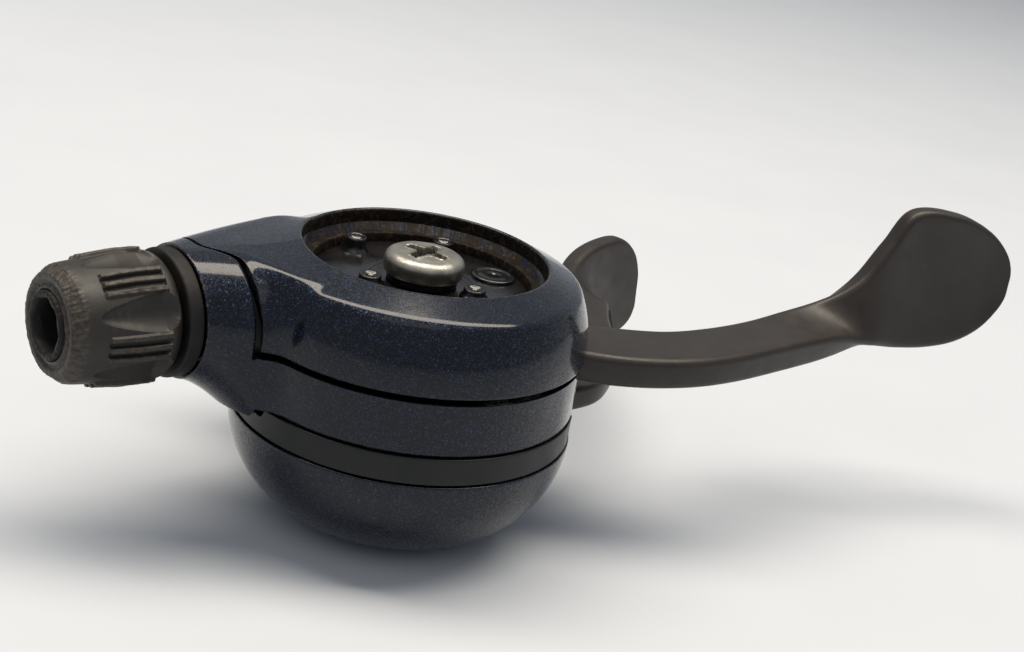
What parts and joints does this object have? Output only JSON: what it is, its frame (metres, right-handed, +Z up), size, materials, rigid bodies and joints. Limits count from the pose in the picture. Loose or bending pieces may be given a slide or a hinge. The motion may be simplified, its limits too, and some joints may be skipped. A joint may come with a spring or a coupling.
{
  "type": "bicycle shifter",
  "caption": "Trigger shifter pod for a bicycle, with a round painted body, barrel adjuster, thumb lever, release lever and notched cable drum.",
  "frame": {"origin": "centre of the flat foot under the pod, on the pod's axis", "axes": "+Z up along the pod's axis, -X along the barrel adjuster, +Y towards the bar mount"},
  "size_m": [0.1119, 0.0488, 0.0369],
  "materials": {
    "painted_shell": "dark navy metallic flake paint under clear lacquer",
    "black_shell": "satin moulded black plastic",
    "lever_skin": "matte moulded black plastic with dust and scuffs",
    "grip_skin": "matte ribbed rubber, worn at the rim",
    "zinc_steel": "dull zinc-plated steel",
    "plate_steel": "stamped steel",
    "dark_steel": "black oxide steel",
    "dark_plastic": "glossy moulded black plastic",
    "brass": "turned brass"
  },
  "bodies": {
    "root": {"upper_cover": "painted_shell", "main_housing": "painted_shell", "lower_ring": "black_shell", "bottom_cover": "painted_shell", "bottom_screw": "dark_steel", "recess_plate": "dark_plastic", "recess_pegs": "dark_steel", "recess_pad": "dark_plastic", "cover_screw": "zinc_steel", "screw_washer": "dark_steel", "pivot_axle": "plate_steel", "axle_nut": "plate_steel", "base_plate": "plate_steel", "drum_spring": "dark_steel", "main_lever_spring": "plate_steel", "holding_pawl_pin": "plate_steel", "holding_pawl_spring": "plate_steel", "release_lever_spring": "plate_steel", "adjuster_collar": "black_shell", "mount_insert": "brass", "housing_screws": "plate_steel"},
    "main_lever": {"main_lever_plate": "plate_steel", "main_lever_cover": "lever_skin", "drive_pawl_pin": "plate_steel", "drive_pawl_spring": "plate_steel"},
    "drum": {"cable_drum": "dark_plastic", "index_wheel": "plate_steel"},
    "drive_pawl": {"drive_pawl": "dark_steel"},
    "release_lever": {"release_lever_plate": "plate_steel", "release_lever_cover": "lever_skin", "release_pin": "plate_steel"},
    "holding_pawl": {"holding_pawl": "dark_steel"},
    "adjuster_key": {"adjuster_detent": "brass"},
    "adjuster": {"adjuster_grip": "grip_skin", "adjuster_stem": "dark_steel"}
  },
  "joints": [
    {"name": "thumb_lever", "type": "hinge", "parent": "root", "child": "main_lever", "pos_m": [0, 0, 0.0197], "axis": [0, 0, 1], "range_deg": [0, 38], "stiffness_Nm_per_rad": 0.06, "springref_deg": -11.46, "deforming": ["main_lever_spring"]},
    {"name": "drum_turn", "type": "hinge", "parent": "root", "child": "drum", "pos_m": [0, 0, 0.02135], "axis": [0, 0, 1], "range_deg": [0, 38]},
    {"name": "drive_pawl_lift", "type": "hinge", "parent": "main_lever", "child": "drive_pawl", "pos_m": [-0.01143, -0.0066, 0.01765], "axis": [0, 0, 1], "range_deg": [-14, 0], "stiffness_Nm_per_rad": 0.0006},
    {"name": "release_lever", "type": "hinge", "parent": "root", "child": "release_lever", "pos_m": [0, 0, 0.0135], "axis": [0, 0, 1], "range_deg": [-15, 0], "stiffness_Nm_per_rad": 0.05, "springref_deg": 11.46},
    {"name": "holding_pawl_lift", "type": "hinge", "parent": "root", "child": "holding_pawl", "pos_m": [0.01081, 0.00757, 0.01765], "axis": [0, 0, 1], "range_deg": [-12, 0]},
    {"name": "adjuster_slide", "type": "slide", "parent": "root", "child": "adjuster_key", "axis": [-1, 0, 0], "range_m": [0, 0.004]},
    {"name": "adjuster_turn", "type": "hinge", "parent": "adjuster_key", "child": "adjuster", "pos_m": [-0.03, 0.0076, 0.02265], "axis": [-1, 0, 0], "range_deg": [0, 1440]}
  ],
  "couplings": [
    {"joint": "drum_turn", "follows": "thumb_lever", "ratio": 1},
    {"joint": "holding_pawl_lift", "follows": "release_lever", "ratio": 0.8},
    {"joint": "adjuster_turn", "follows": "adjuster_slide", "rad_per_m": 6283.2}
  ]
}
